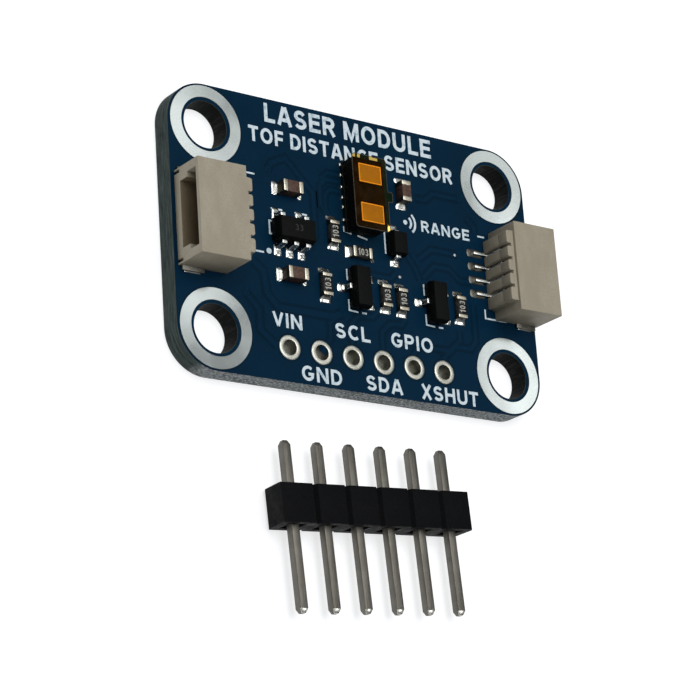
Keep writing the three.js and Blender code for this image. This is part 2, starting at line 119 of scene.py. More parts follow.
SMOOTH_ANGLE = 35.0  # edges that turn less than this are shaded smooth
WAYS = range(1, 5)
PINS = range(1, 7)
RESISTORS = range(1, 7)


def centre_and_size(node):
    """Middle and size of a CAD node, in millimetres."""
    low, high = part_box(node)
    return (low + high) / 2 / MM, (high - low) / MM


# ---- material kit


def rgb(red, green, blue):
    """A colour given as it looks on a screen, 0 to 255, turned into linear light."""
    def linear(value):
        share = value / 255
        return share / 12.92 if share <= 0.04045 else ((share + 0.055) / 1.055) ** 2.4
    return (linear(red), linear(green), linear(blue), 1.0)


class Finish:
    """A Principled material and the few pattern nodes that the finishes below are made from."""

    def __init__(self, name, color, roughness, metallic=0.0, specular=0.5):
        self.material = bpy.data.materials.new(name)
        self.material.use_nodes = True
        self.nodes = self.material.node_tree.nodes
        self.links = self.material.node_tree.links
        self.shader = self.nodes["Principled BSDF"]
        self.set("Base Color", color)
        self.set("Roughness", roughness)
        self.set("Metallic", metallic)
        self.set("Specular IOR Level", specular)
        self.place = self.nodes.new("ShaderNodeTexCoord").outputs["Object"]
        self.height = None

    def set(self, socket, value):
        self.shader.inputs[socket].default_value = value

    def link(self, source, socket):
        self.links.new(source, self.shader.inputs[socket])

    def node(self, kind, **inputs):
        """A new node. Each input, with _ for a space in its name, is a value or another node's output."""
        node = self.nodes.new(f"ShaderNode{kind}")
        for name, value in inputs.items():
            socket = node.inputs[name.replace("_", " ")]
            if isinstance(value, bpy.types.NodeSocket):
                self.links.new(value, socket)
            else:
                socket.default_value = value
        return node

    def stretched(self, x, y, z):
        """Object coordinates with each axis squeezed by its own factor, per millimetre."""
        scale = (x / MM, y / MM, z / MM)
        return self.node("Mapping", Vector=self.place, Scale=scale).outputs["Vector"]

    def noise(self, per_mm, detail=4.0, stretch=(1.0, 1.0, 1.0), roughness=0.55):
        """A noise pattern with so many features in a millimetre."""
        vector = self.stretched(*(per_mm * share for share in stretch))
        node = self.node("TexNoise", Vector=vector, Scale=1.0, Detail=detail, Roughness=roughness)
        return node.outputs["Fac"]

    def cells(self, per_mm):
        """Distance to the nearest cell point: small bright-edged grains."""
        vector = self.stretched(per_mm, per_mm, per_mm)
        return self.node("TexVoronoi", Vector=vector, Scale=1.0).outputs["Distance"]

    def band(self, source, low=0.3, high=0.7):
        """Maps low..high of a pattern onto 0..1, smoothly, and holds it at the ends."""
        node = self.node("MapRange", Value=source, From_Min=low, From_Max=high)
        node.interpolation_type = "SMOOTHSTEP"
        return node.outputs["Result"]

    def between(self, source, low, high):
        """Maps 0..1 of a pattern onto low..high."""
        return self.node("MapRange", Value=source, To_Min=low, To_Max=high).outputs["Result"]

    def axis(self, name):
        """One object coordinate, in millimetres."""
        return self.node("SeparateXYZ", Vector=self.stretched(1.0, 1.0, 1.0)).outputs[name]

    def mix(self, factor, first, second):
        """Blends two colours, each a colour or another pattern's colour output."""
        node = self.nodes.new("ShaderNodeMix")
        node.data_type = "RGBA"
        self.links.new(factor, node.inputs["Factor"])
        for socket, value in ((node.inputs[6], first), (node.inputs[7], second)):
            if isinstance(value, tuple):
                socket.default_value = value
            else:
                self.links.new(value, socket)
        return node.outputs[2]

    def color(self, source):
        self.link(source, "Base Color")

    def gloss(self, source, low, high):
        self.link(self.between(source, low, high), "Roughness")

    def bump(self, source, height):
        """Adds relief of that height, in millimetres, to what is already there."""
        node = self.node("Bump", Height=source, Strength=1.0, Distance=height * MM)
        if self.height is not None:
            self.links.new(self.height, node.inputs["Normal"])
        self.height = node.outputs["Normal"]
        self.link(self.height, "Normal")


# ---- finishes


def solder_mask(name, dark, light):
    """Semi-gloss ink: deep blue with a faint cloud and a fine orange peel."""
    finish = Finish(name, light, 0.32, specular=0.025)
    cloud = finish.band(finish.noise(0.3, detail=3.0))
    speckle = finish.band(finish.noise(7.0, detail=3.0), 0.25, 0.8)
    finish.color(finish.mix(speckle, finish.mix(cloud, dark, light), light))
    finish.gloss(finish.noise(1.5), 0.26, 0.42)
    finish.bump(finish.noise(4.0, detail=3.0), 0.006)
    return finish.material


def laminate_edge():
    """Routed glass-fibre edge: grey-green layers, with torn pale fibres along the front edge."""
    finish = Finish("laminate_edge", rgb(60, 68, 66), 0.75, specular=0.1)
    layers = finish.band(finish.noise(1.2, detail=5.0, stretch=(0.5, 0.5, 7.0)), 0.35, 0.68)
    mottle = finish.band(finish.noise(1.6, detail=6.0, roughness=0.7), 0.35, 0.7)
    torn = finish.band(finish.noise(5.0, detail=8.0, stretch=(1.0, 1.0, 2.4), roughness=0.8), 0.42, 0.66)
    smooth = finish.mix(layers, rgb(32, 42, 40), rgb(76, 88, 84))
    smooth = finish.mix(mottle, smooth, rgb(58, 68, 67))
    rough = finish.mix(torn, rgb(60, 66, 66), rgb(196, 202, 204))
    front_y = -BOARD["width"] / 2
    front = finish.band(finish.axis("Y"), front_y + 0.45, front_y + 0.05)
    finish.color(finish.mix(front, smooth, rough))
    finish.bump(finish.noise(6.0, detail=6.0, stretch=(1.0, 1.0, 3.0)), 0.05)
    return finish.material


def drilled_wall_painted_shade():
    """Bare wall of a drilled hole: dark resin with upright scores, its near-black colour painted shade for
    the depth of the hole.
    """
    finish = Finish("drilled_wall_painted_shade", rgb(20, 21, 21), 0.6, specular=0.05)
    scores = finish.band(finish.noise(5.0, detail=4.0, stretch=(1.0, 1.0, 0.12)), 0.4, 0.75)
    finish.color(finish.mix(scores, rgb(7, 9, 9), rgb(38, 38, 37)))
    finish.bump(scores, 0.03)
    return finish.material


def metal(name, dark, light, roughness, relief, patch_size=1.1):
    """Tin, solder or plating: uneven grey with soft dull patches and a fine grain."""
    finish = Finish(name, light, 0.3, metallic=1.0)
    patches = finish.band(finish.noise(1 / patch_size, detail=4.0))
    grain = finish.band(finish.noise(14.0, detail=2.0), 0.25, 0.8)
    finish.color(finish.mix(grain, finish.mix(patches, dark, light), light))
    finish.gloss(patches, *roughness)
    finish.bump(finish.noise(0.7 / patch_size, detail=2.0), relief)
    return finish.material


def legend_ink():
    """Screen-printed white ink, thin enough for the blue to dull it here and there."""
    finish = Finish("legend_ink", rgb(204, 218, 224), 0.6, specular=0.1)
    thin = finish.band(finish.noise(3.5, detail=5.0), 0.28, 0.5)
    finish.color(finish.mix(thin, rgb(148, 169, 182), rgb(201, 214, 221)))
    finish.bump(finish.noise(9.0, detail=3.0), 0.004)
    return finish.material


def socket_plastic(name, dark, light):
    """Beige moulded nylon, satin, with a faint flow mottle."""
    finish = Finish(name, dark, 0.5, specular=0.16)
    flow = finish.band(finish.noise(0.8, detail=5.0, stretch=(1.0, 0.5, 1.0)))
    speck = finish.band(finish.noise(7.0, detail=4.0), 0.35, 0.8)
    finish.color(finish.mix(speck, finish.mix(flow, dark, light), dark))
    finish.gloss(finish.noise(2.0), 0.42, 0.6)
    finish.bump(finish.noise(10.0, detail=3.0), 0.008)
    return finish.material


def moulding_compound(name, dark, light, relief=0.008):
    """Matt black epoxy or nylon with a fine spark-eroded grain."""
    finish = Finish(name, dark, 0.55, specular=0.06)
    grain = finish.band(finish.cells(16.0), 0.1, 0.7)
    cloud = finish.band(finish.noise(1.4, detail=4.0))
    finish.color(finish.mix(grain, finish.mix(cloud, dark, light), dark))
    finish.gloss(cloud, 0.46, 0.68)
    finish.bump(grain, relief)
    return finish.material


def ceramic(name, dark, light, gloss=0.45):
    """A fired or painted surface with a fine grain."""
    finish = Finish(name, light, gloss, specular=0.2)
    grain = finish.band(finish.noise(6.0, detail=5.0))
    finish.color(finish.mix(grain, dark, light))
    finish.gloss(grain, gloss - 0.06, gloss + 0.08)
    finish.bump(finish.noise(14.0), 0.006)
    return finish.material


def window_glass():
    """Frosted filter glass over the sensor's chambers. The film above it makes it look amber."""
    finish = Finish("window_glass", rgb(162, 158, 150), 0.25, specular=0.3)
    depth = finish.band(finish.noise(0.8, detail=2.0))
    speck = finish.band(finish.noise(12.0, detail=2.0), 0.3, 0.8)
    body = finish.mix(depth, rgb(156, 151, 142), rgb(170, 164, 155))
    finish.color(finish.mix(speck, body, rgb(163, 158, 149)))
    finish.bump(finish.noise(3.0), 0.003)
    return finish.material


def film():
    """Clear amber film. Light passes two of its faces each way, and each face tints it."""
    finish = Finish("film", rgb(120, 96, 62), 0.18, specular=0.5)
    haze = finish.band(finish.noise(1.2, detail=3.0), 0.3, 0.75)
    finish.color(finish.mix(haze, rgb(92, 82, 66), rgb(120, 106, 84)))
    clear = finish.nodes.new("ShaderNodeBsdfTransparent")
    clear.inputs["Color"].default_value = rgb(254, 228, 164)
    both = finish.nodes.new("ShaderNodeMixShader")
    finish.links.new(finish.between(haze, 0.01, 0.035), both.inputs["Fac"])
    finish.links.new(clear.outputs["BSDF"], both.inputs[1])
    finish.links.new(finish.shader.outputs["BSDF"], both.inputs[2])
    output = finish.nodes["Material Output"]
    finish.links.new(both.outputs["Shader"], output.inputs["Surface"])
    return finish.material


def pin_metal():
    """Drawn nickel-plated wire: grey, with fine scratches along its length."""
    finish = Finish("pin_metal", rgb(112, 109, 102), 0.4, metallic=1.0)
    drawn = finish.band(finish.noise(3.0, detail=5.0, stretch=(3.0, 0.1, 3.0)))
    stain = finish.band(finish.noise(0.9, detail=4.0), 0.35, 0.7)
    bright = finish.mix(drawn, rgb(100, 98, 91), rgb(128, 125, 117))
    finish.color(finish.mix(stain, bright, rgb(106, 103, 96)))
    finish.gloss(drawn, 0.46, 0.62)
    finish.bump(drawn, 0.004)
    return finish.material


def floor_finish():
    """Pale studio floor with the faintest unevenness. Its own glow makes it look nearly white."""
    finish = Finish("floor", rgb(176, 178, 182), 0.9, specular=0.0)
    soft = finish.band(finish.noise(0.02))
    finish.color(finish.mix(soft, rgb(174, 176, 180), rgb(178, 180, 183)))
    finish.set("Emission Color", (1.0, 1.0, 1.0, 1.0))
    finish.set("Emission Strength", FLOOR["glow"])
    return finish.material


MASK = solder_mask("mask_over_copper", rgb(4, 31, 48), rgb(6, 36, 57))
MASK_BARE = solder_mask("mask_over_laminate", rgb(3, 27, 41), rgb(5, 31, 49))
MASK_TRACK = solder_mask("mask_over_track", rgb(4, 31, 49), rgb(7, 37, 58))
LAMINATE = laminate_edge()
WALL_SHADE = drilled_wall_painted_shade()
TIN = metal("tin", rgb(196, 200, 196), rgb(224, 227, 224), (0.2, 0.34), 0.01)
LAND = metal("land_finish", rgb(190, 198, 196), rgb(212, 220, 218), (0.15, 0.23), 0.03, patch_size=3.0)
SOLDER = metal("solder", rgb(178, 180, 174), rgb(222, 224, 218), (0.12, 0.28), 0.018, patch_size=0.6)
PLATE = metal("plated_end", rgb(172, 167, 150), rgb(206, 201, 184), (0.3, 0.42), 0.012)
# darker copy of the end plating for faces that do not look up: painted shade
PLATE_SIDE_SHADE = metal("plated_side_painted_shade", rgb(70, 66, 56), rgb(112, 106, 92), (0.35, 0.5), 0.012)
HOLE_PLATE = metal("hole_plate", rgb(164, 164, 154), rgb(198, 198, 188), (0.35, 0.55), 0.02)
BARREL = metal("hole_barrel", rgb(96, 98, 90), rgb(150, 150, 138), (0.4, 0.6), 0.06, patch_size=0.4)
DULL = metal("dull_solder", rgb(62, 62, 58), rgb(116, 114, 106), (0.25, 0.45), 0.02, patch_size=0.6)
INK = legend_ink()
BEIGE = socket_plastic("socket_beige", rgb(146, 138, 121), rgb(158, 151, 135))
# darker beige: painted shade for the inside of a socket's mouth
MOUTH_SHADE = socket_plastic("socket_mouth_painted_shade", rgb(104, 92, 73), rgb(116, 104, 85))
EPOXY = moulding_compound("epoxy", rgb(11, 12, 12), rgb(19, 20, 20))
HEADER_BLACK = moulding_compound("header_black", rgb(9, 10, 12), rgb(17, 18, 20), relief=0.014)
CAP_BLACK = moulding_compound("cap_black", rgb(11, 10, 10), rgb(20, 18, 17))
SUBSTRATE = ceramic("sensor_substrate", rgb(8, 12, 12), rgb(16, 22, 20))
BROWN = ceramic("capacitor_brown", rgb(62, 46, 39), rgb(88, 66, 56))
# chip resistor sides: alumina, darkened far below its own pale grey as painted shade
ALUMINA_SHADE = ceramic("resistor_alumina_painted_shade", rgb(40, 40, 38), rgb(74, 74, 70))
COAT = ceramic("resistor_coat", rgb(9, 9, 10), rgb(18, 18, 19), gloss=0.35)
MARKING = ceramic("resistor_marking", rgb(138, 138, 130), rgb(176, 176, 166))
FAINT_MARKING = ceramic("package_marking", rgb(34, 35, 34), rgb(46, 47, 45))
GLASS = window_glass()
GLASS_RIM = ceramic("window_rim", rgb(244, 226, 224), rgb(252, 240, 240))
SILICON = ceramic("silicon", rgb(70, 72, 80), rgb(104, 106, 116), gloss=0.2)
FILM = film()
FILM_EDGE = ceramic("film_edge", rgb(52, 46, 40), rgb(76, 68, 58), gloss=0.3)
PIN_METAL = pin_metal()
# bright cut metal for the pin tips' facets that look towards -Y and up, partly a painted highlight
CUT_METAL_HIGHLIGHT = metal("cut_metal_painted_highlight", rgb(206, 204, 196), rgb(236, 234, 226), (0.2, 0.34), 0.01)

# ---- mesh kit


def make_piece(name, shape, material, stands_for=None, body="board"):
    """Turns a bmesh in millimetres into a piece that rides on a body, and may stand for a CAD node."""
    mesh = bpy.data.meshes.new(name)
    bmesh.ops.recalc_face_normals(shape, faces=shape.faces)
    shape.to_mesh(mesh)
    shape.free()
    mesh.transform(Matrix.Scale(MM, 4))
    for entry in material if isinstance(material, list) else [material]:
        mesh.materials.append(entry)
    mesh.polygons.foreach_set("use_smooth", [True] * len(mesh.polygons))
    mesh.set_sharp_from_angle(angle=math.radians(SMOOTH_ANGLE))
    piece = new_object(name, mesh)
    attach(piece, body)
    if stands_for:
        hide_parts(stands_for)


def joined(shapes):
    """Puts several bmeshes into one."""
    whole = bmesh.new()
    for shape in shapes:
        part = bpy.data.meshes.new("part")
        shape.to_mesh(part)
        shape.free()
        whole.from_mesh(part)
        bpy.data.meshes.remove(part)
    return whole


def moved(shape, x=0.0, y=0.0, z=0.0, turn=0.0):
    """Turns a bmesh about +Z, then shifts it."""
    shape.transform(Matrix.Translation((x, y, z)) @ Matrix.Rotation(turn, 4, "Z"))
    return shape


def sharp_edges(shape, degrees=25.0):
    limit = math.radians(degrees)
    return [edge for edge in shape.edges if len(edge.link_faces) == 2 and edge.calc_face_angle(0.0) > limit]


def soften(shape, radius, segments=2, edges=None):
    """Rounds the sharp edges of a bmesh, or the edges given."""
    bmesh.ops.bevel(
        shape,
        geom=sharp_edges(shape) if edges is None else edges,
        offset=radius,
        offset_type="OFFSET",
        segments=segments,
        profile=0.5,
        affect="EDGES",
        clamp_overlap=True,
    )
    return shape


def cad_shape(node):
    """A CAD node's own shape as a clean bmesh, in millimetres."""
    shape = bmesh.new()
    shape.from_mesh(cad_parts[node].data)
    bmesh.ops.scale(shape, vec=(1 / MM, 1 / MM, 1 / MM), verts=shape.verts)
    bmesh.ops.remove_doubles(shape, verts=shape.verts, dist=0.002)
    bmesh.ops.dissolve_limit(shape, angle_limit=math.radians(1.0), verts=shape.verts, edges=shape.edges)
    return shape


def soft_copy(name, node, material, radius, segments=2, body="board"):
    """A piece with a CAD node's own shape, its sharp edges rounded."""
    make_piece(name, soften(cad_shape(node), radius, segments), material, node, body)


def circle(x, y, radius, sides=ROUND):
    turns = [2 * math.pi * i / sides for i in range(sides)]
    return [(x + radius * math.cos(turn), y + radius * math.sin(turn)) for turn in turns]


def rounded_rectangle(x0, x1, y0, y1, radius, steps):
    """Corner points of a rectangle with round corners, anticlockwise."""
    left, right = x0 + radius, x1 - radius
    front, rear = y0 + radius, y1 - radius
    centres = [(right, front), (right, rear), (left, rear), (left, front)]
    points = []
    for quarter, (x, y) in enumerate(centres):
        for i in range(steps + 1):
            turn = math.pi / 2 * (quarter - 1 + i / steps)
            points.append((x + radius * math.cos(turn), y + radius * math.sin(turn)))
    return points


def wall(shape, first, second):
    """Faces that join two rings with as many points."""
    for i in range(len(first)):
        j = (i + 1) % len(first)
        shape.faces.new((first[i], first[j], second[j], second[i]))


def ring_edges(shape, ring):
    """The edges round a ring of points."""
    return [shape.edges.get(pair) for pair in zip(ring, [*ring[1:], ring[0]])]


def sheet(outline, holes, low, high):
    """A flat plate between two heights, with holes."""
    shape = bmesh.new()
    bottom, top = [], []
    for loop in [outline, *holes]:
        lower, upper = [[shape.verts.new((x, y, z)) for x, y in loop] for z in (low, high)]
        wall(shape, lower, upper)
        bottom += ring_edges(shape, lower)
        top += ring_edges(shape, upper)
    for edges in (bottom, top):
        bmesh.ops.triangle_fill(shape, edges=edges, use_beauty=True)
    return shape


def lathe(profile, sides):
    """Turns a closed profile of (radius, z) points about +Z."""
    shape = bmesh.new()
    rings = [[shape.verts.new((x, y, z)) for x, y in circle(0, 0, radius, sides)] for radius, z in profile]
    for ring, following in zip(rings, [*rings[1:], rings[0]]):
        wall(shape, ring, following)
    return shape


def ribbon(points, width, low, high):
    """A flat strip of even width along a bent line, square at both ends."""
    shape = bmesh.new()
    points = [Vector(point) for point in points]
    directions = [(end - start).normalized() for start, end in zip(points, points[1:])]
    sections = []
    for i, point in enumerate(points):
        before = directions[max(0, i - 1)]
        after = directions[min(i, len(directions) - 1)]
        along = (before + after).normalized()
        reach = width / 2 / max(0.5, along.dot(after))
        across = Vector((-along.y, along.x)) * reach
        near, far = point - across, point + across
        corners = [(near, low), (far, low), (far, high), (near, high)]
        sections.append([shape.verts.new((corner.x, corner.y, z)) for corner, z in corners])
    for section, following in zip(sections, sections[1:]):
        wall(shape, section, following)
    shape.faces.new(sections[0])
    shape.faces.new(sections[-1][::-1])
    return shape


def block(x0, x1, y0, y1, z0, z1, radius=0.0, segments=2):
    """A box with softened edges."""
    shape = bmesh.new()
    bmesh.ops.create_cube(shape, size=1.0)
    bmesh.ops.scale(shape, vec=(x1 - x0, y1 - y0, z1 - z0), verts=shape.verts)
    bmesh.ops.translate(shape, vec=((x0 + x1) / 2, (y0 + y1) / 2, (z0 + z1) / 2), verts=shape.verts)
    if radius:
        soften(shape, radius, segments)
    return shape


def hill(x0, x1, y0, y1, height):
    """A closed patch of metal on the board, with round corners in plan.

    height(u, v) gives its height, with u and v from -1 to 1 across the patch.
    """
    steps = 14
    shape = bmesh.new()
    half_x, half_y = (x1 - x0) / 2, (y1 - y0) / 2
    middle_x, middle_y = (x0 + x1) / 2, (y0 + y1) / 2
    rows = []
    for i in range(steps + 1):
        row = []
        for j in range(steps + 1):
            u = math.sin(math.pi / 2 * (2 * i / steps - 1))
            v = math.sin(math.pi / 2 * (2 * j / steps - 1))
            pull = 1 - 0.12 * u * u * v * v
            z = TOP + max(0.0, height(u, v))
            row.append(shape.verts.new((middle_x + half_x * u * pull, middle_y + half_y * v * pull, z)))
        rows.append(row)
    for i in range(steps):
        for j in range(steps):
            shape.faces.new((rows[i][j], rows[i + 1][j], rows[i + 1][j + 1], rows[i][j + 1]))
    border = [edge for edge in shape.edges if edge.is_boundary]
    walls = bmesh.ops.extrude_edge_only(shape, edges=border)["geom"]
    lowered = [item for item in walls if isinstance(item, bmesh.types.BMVert)]
    for vertex in lowered:
        vertex.co.z = ROOT
    rim = [item for item in walls if isinstance(item, bmesh.types.BMEdge) and item.is_boundary]
    bmesh.ops.contextual_create(shape, geom=rim)
    return shape


def solder_pad(x0, x1, y0, y1, thickness):
    """A flat pad wetted with solder: crowned in the middle, thin at its rim."""
    def height(u, v):
        return PAD_SKIN + thickness * ((1 - abs(u) ** 4) * (1 - abs(v) ** 4))
    return hill(x0, x1, y0, y1, height)


def stretch_at(end, side, back, ahead):
    """Low and high ends of a stretch that runs back and ahead of a part's end, which faces side."""
    return sorted((end - side * back, end + side * ahead))


def solder_wedge(reach, width, climb):
    """Solder that climbs the end of a part at x = 0 from a pad that ends at x = reach."""
    def height(u, v):
        run = (1 - u) / 2
        return PAD_SKIN + (climb * run ** 2.2 + 0.05) * (1 - abs(v) ** 5) * (1 - max(0.0, u) ** 6)
    return hill(0, reach, -width / 2, width / 2, height)


# ---- circuit board


def board_outline(inset=0.0):
    half_x = BOARD["length"] / 2 - inset
    half_y = BOARD["width"] / 2 - inset
    return rounded_rectangle(-half_x, half_x, -half_y, half_y, BOARD["corner"] - inset, steps=20)


def pin_hole_centres():
    return [tuple(centre_and_size(f"header_hole_{i}")[0])[:2] for i in PINS]


def make_board():
    """The laminate slab with its solder mask on both faces."""
    skin = BOARD["skin"]
    rim = 0.03
    drills = [circle(x, y, HOLE["radius"]) for x, y in HOLE_CENTRES]
    relieved = [circle(x, y, HOLE["radius"] + rim) for x, y in HOLE_CENTRES]
    pin_drill = PIN_HOLE["radius"] + PIN_HOLE["wall"]
    pin_drills = [circle(x, y, pin_drill, SMALL_ROUND) for x, y in pin_hole_centres()]
    slab = sheet(board_outline(), drills + pin_drills, skin, TOP - skin)
    for face in slab.faces:
        middle = face.calc_center_median()
        flat = abs(face.normal.z) > 0.5
        reaches = [math.hypot(middle.x - x, middle.y - y) for x, y in HOLE_CENTRES]
        drilled = min(reaches) < HOLE["radius"] + 0.01
        # the walls of the mount holes get a near-black colour: painted shade for the hole's depth
        face.material_index = 1 if drilled and not flat else 0
    make_piece("board_laminate", slab, [LAMINATE, WALL_SHADE], "circuit_board")
    for side, low, high in (("top", TOP - skin, TOP), ("bottom", 0.02, skin)):
        mask = sheet(board_outline(0.01), relieved + pin_drills, low, high)
        make_piece(f"mask_{side}", mask, MASK)


def land_profile(inner, outer, low, high):
    """A flat ring whose top edges are rolled over."""
    roll = (high - low) * 0.6
    return [
        (inner, low),
        (outer, low),
        (outer, high - roll),
        (outer - roll, high),
        (inner + roll, high),
        (inner, high - roll),
    ]


def make_mount_lands():
    """Solder-levelled rings. The upper ones are a little thicker towards the hole."""
    inner, outer = HOLE["land_inner"], HOLE["land_outer"]
    crest = TOP + LAND_HEIGHT
    lower = land_profile(inner, outer, 0.0, 0.03)
    upper = [
        (inner, ROOT),
        (outer, ROOT),
        (outer, TOP),
        (outer - 0.015, TOP + 0.022),
        (inner + 0.015, crest),
        (inner, crest - 0.022),
    ]
    for i, (x, y) in enumerate(HOLE_CENTRES, 1):
        for side, profile in (("top", upper), ("bottom", lower)):
            ring = moved(lathe(profile, ROUND), x, y)
            make_piece(f"mount_land_{side}_{i}", ring, LAND)


def make_header_holes():
    """Plated barrels, each with a pad on both faces."""
    bore, land = PIN_HOLE["radius"], PIN_HOLE["land"]
    wall = bore + PIN_HOLE["wall"]
    crown = TOP + 0.055
    profile = [
        (bore, 0.05),
        (bore + 0.05, 0.0),
        (land, 0.0),
        (land, 0.03),
        (wall, 0.03),
        (wall, TOP + 0.005),
        (land, TOP + 0.005),
        (land - 0.02, TOP + 0.03),
        (land - 0.08, crown),
        (bore + 0.1, crown),
        (bore + 0.03, crown - 0.02),
        (bore, crown - 0.07),
    ]
    for i, (x, y) in enumerate(pin_hole_centres(), 1):
        barrel = lathe(profile, 56)
        for face in barrel.faces:
            middle = face.calc_center_median()
            face.material_index = 1 if middle.xy.length < bore + 0.02 else 0
        moved(barrel, x, y)
        plating = [HOLE_PLATE, BARREL]
        make_piece(f"plated_hole_{i}", barrel, plating, f"header_hole_{i}")


# Each track is the middle line of a strip of copper, and its width.
TRACKS = [
    ([(-7.3, 4.7), (-6.9, 5.3), (-5.8, 5.8), (-4.5, 4.5), (-3.7, 3.7), (-3.7, 0.6), (-4.3, -0.2)], 0.28),
    ([(-8.9, -1.9), (-8.1, -2.5), (-7.9, -4.0), (-7.1, -4.85), (-2.6, -4.85), (-1.9, -4.5)], 0.4),
    ([(-9.6, -4.2), (-8.6, -5.2), (-8.6, -6.6), (-7.4, -7.5)], 0.35),
    ([(-3.8, -7.5), (-3.0, -6.4), (-3.0, -5.4), (-2.3, -4.7)], 0.25),
    ([(-1.27, -6.6), (-1.27, -5.2), (-0.6, -4.5), (0.6, -4.4), (1.2, -3.8)], 0.25),
    ([(1.27, -6.6), (1.27, -5.4), (2.0, -4.7), (3.0, -4.6), (3.4, -4.1)], 0.25),
    ([(3.81, -6.6), (4.4, -5.9), (7.1, -5.9), (8.0, -5.0), (8.0, -4.3)], 0.25),
    ([(6.35, -6.6), (7.4, -5.5), (8.9, -5.5), (9.4, -4.9), (9.4, -2.2)], 0.25),
    ([(3.9, 0.6), (4.6, -0.4), (4.9, -1.2)], 0.25),
    ([(5.2, -0.9), (6.2, 0.1), (7.5, 0.1), (8.4, -0.6), (9.4, -0.6)], 0.25),
    ([(4.9, 0.4), (6.1, 1.3), (8.4, 1.3)], 0.25),
    ([(-1.4, 5.4), (-2.4, 5.4), (-3.0, 4.8)], 0.2),
    ([(-1.4, 4.9), (-2.6, 4.9), (-3.1, 4.3), (-3.1, 2.9), (-2.5, 2.3)], 0.2),
    ([(-1.4, 4.2), (-2.3, 4.2), (-2.7, 3.7), (-2.7, 2.6)], 0.2),
    ([(5.0, 4.9), (5.9, 4.9), (6.6, 5.5), (9.0, 5.5)], 0.25),
    ([(0.4, 0.9), (0.4, 0.5)], 0.25),
    ([(-0.6, -0.9), (0.3, -1.4), (2.4, -1.4), (2.9, -0.9)], 0.25),
    ([(9.5, 4.2), (10.1, 3.6), (10.1, 3.1)], 0.3),
]
VIAS = [
    (-4.3, -0.2), (-7.3, 4.7), (-1.9, -4.5), (9.4, -2.0), (-9.6, -4.2),
    (9.0, 5.5), (-3.0, 4.8), (-2.7, 2.5), (6.0, -6.9), (9.5, 4.2), (-9.0, 5.0), (0.0, -6.9), (-5.1, -6.9),
]
OPEN_VIAS = [(8.16, 1.24), (3.16, -1.16)]
LAYER = 0.0012  # crossing strips lie this much above one another, so that no two faces coincide


def layered(strips, height, gap=0.0):
    """One ribbon for each strip, each a hair above the one before."""
    return [
        ribbon(points, width + gap, ROOT, height + LAYER * (i % 4))
        for i, (points, width) in enumerate(strips)
    ]


def clearances(land, outer, centres, sides):
    """Bare rings in the copper pour, one round each land."""
    profile = land_profile(land + CLEARANCE["gap"], outer, ROOT, TOP + CLEARANCE["height"])
    return [moved(lathe(profile, sides), x, y) for x, y in centres]


def make_tracks():
    """Copper tracks under the mask, each in a bare channel of the copper pour."""
    channels = layered(TRACKS, TOP + 0.002, gap=0.44)
    make_piece("mask_channels", joined(channels), MASK_BARE)
    tracks = layered(TRACKS, TOP + 0.008)
    make_piece("mask_tracks", joined(tracks), MASK_TRACK)
    tent = land_profile(VIA["bore"], VIA["radius"], ROOT, TOP + VIA["height"])
    tents = [moved(lathe(tent, 24), x, y) for x, y in VIAS]
    make_piece("mask_vias", joined(tents), MASK_TRACK)
    rings = clearances(HOLE["land_outer"], CLEARANCE["mount_radius"], HOLE_CENTRES, ROUND)
    rings += clearances(PIN_HOLE["land"], CLEARANCE["pin_radius"], pin_hole_centres(), SMALL_ROUND)
    make_piece("mask_clearances", joined(rings), MASK_BARE)
    dome = [(0.03, ROOT), (0.1, ROOT), (0.1, TOP + 0.02), (0.03, TOP + 0.03)]
    bare = [moved(lathe(dome, 20), x, y) for x, y in OPEN_VIAS]
    make_piece("open_vias", joined(bare), TIN)


# ---- printed legend

INK_TOP = TOP + 0.02
# Each legend is its name, its text, where it starts and ends along X, its foot and its height.
LEGENDS = [
    ("title", "LASER MODULE", -7.3, 6.75, 8.15, 1.36),
    ("subtitle", "TOF DISTANCE SENSOR", -8.65, 8.5, 6.55, 1.12),
    ("mark_word", "RANGE", 5.35, 9.6, 2.5, 0.82),
    ("vin", "VIN", -7.6, -5.25, -6.2, 1.0),
    ("scl", "SCL", -2.62, 0.25, -6.28, 1.04),
    ("gpio", "GPIO", 1.98, 5.56, -6.28, 1.04),
    ("gnd", "GND", -5.56, -2.3, -9.6, 1.04),
    ("sda", "SDA", -0.35, 2.68, -9.6, 1.04),
    ("xshut", "XSHUT", 4.26, 9.15, -9.62, 1.04),
]
LEGEND_LINES = {
    "left_socket": [[(-9.6, 4.2), (-8.35, 4.2)], [(-9.3, -1.2), (-7.96, -1.2)]],
    "right_socket": [[(10.35, 3.0), (10.95, 3.0)], [(10.45, -2.4), (10.45, -3.05), (12.3, -3.05)]],
    "sensor": [[(-1.3, 1.75), (-1.3, 1.4), (-0.7, 1.3)], [(-0.2, 1.25), (0.6, 1.1)]],
    "regulator": [
        [(-7.15, 1.1), (-7.4, 1.1), (-7.4, 0.2), (-7.15, 0.2)],
        [(-7.2, 2.0), (-6.3, 2.0)],
        [(-5.3, 2.0), (-4.3, 2.0)],
    ],
    "diode": [[(2.1, 0.35), (2.1, 1.95)]],
}


def arc(x, y, radius_x, radius_y, start, end, steps=12):
    """Points along an ellipse between two angles in degrees."""
    turns = [math.radians(start + (end - start) * i / steps) for i in range(steps + 1)]
    return [(x + radius_x * math.cos(turn), y + radius_y * math.sin(turn)) for turn in turns]


STEM = [(0.1, 0), (0.1, 1)]

